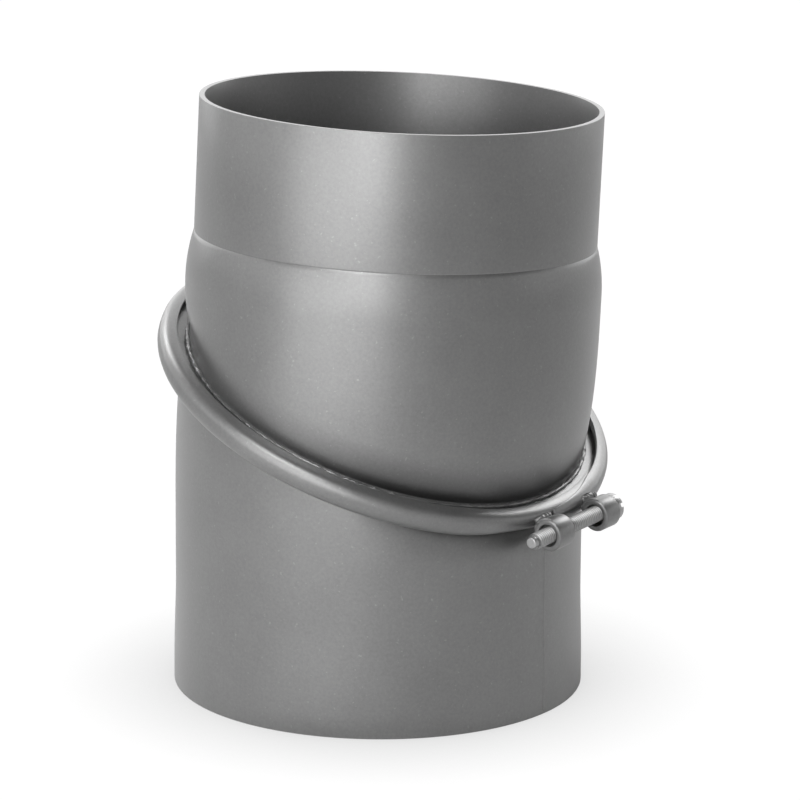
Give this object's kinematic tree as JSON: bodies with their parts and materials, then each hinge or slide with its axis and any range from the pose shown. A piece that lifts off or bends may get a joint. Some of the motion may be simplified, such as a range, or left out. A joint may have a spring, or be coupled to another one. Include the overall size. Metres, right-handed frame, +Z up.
{
  "type": "stove pipe elbow",
  "caption": "Adjustable stove pipe elbow: two oblique tube halves turn on a clamped flange joint, with a narrowed spigot at one end and a socket at the other.",
  "frame": {"origin": "on the lower tube's axis in the plane of its open bottom rim", "axes": "+Z up along the lower tube's axis, towards the joint; the joint plane slopes down towards +X"},
  "size_m": [0.1706, 0.1726, 0.2214],
  "materials": {
    "grey_paint": "satin",
    "screw_steel": "satin"
  },
  "bodies": {
    "lower_pipe": {"lower_tube": "grey_paint"},
    "upper_pipe": {"upper_tube": "grey_paint"},
    "clamp": {"clamp_ring": "grey_paint", "threaded_bush": "grey_paint", "threaded_bush_weld": "grey_paint", "plain_bush": "grey_paint", "plain_bush_weld": "grey_paint"},
    "screw": {"clamp_screw": "screw_steel"}
  },
  "joints": [
    {"name": "elbow_turn", "type": "hinge", "parent": "lower_pipe", "child": "upper_pipe", "pos_m": [0.00222, 0, 0.10828], "axis": [0.3827, 0, 0.9239], "continuous": true},
    {"name": "clamp_turn", "type": "hinge", "parent": "lower_pipe", "child": "clamp", "pos_m": [0.00222, 0, 0.10828], "axis": [0.3827, 0, 0.9239], "continuous": true},
    {"name": "screw_turn", "type": "hinge", "parent": "clamp", "child": "screw", "pos_m": [0.08641, 0.0008, 0.07341], "axis": [0.0146, 0.9982, 0.0581], "continuous": true}
  ]
}
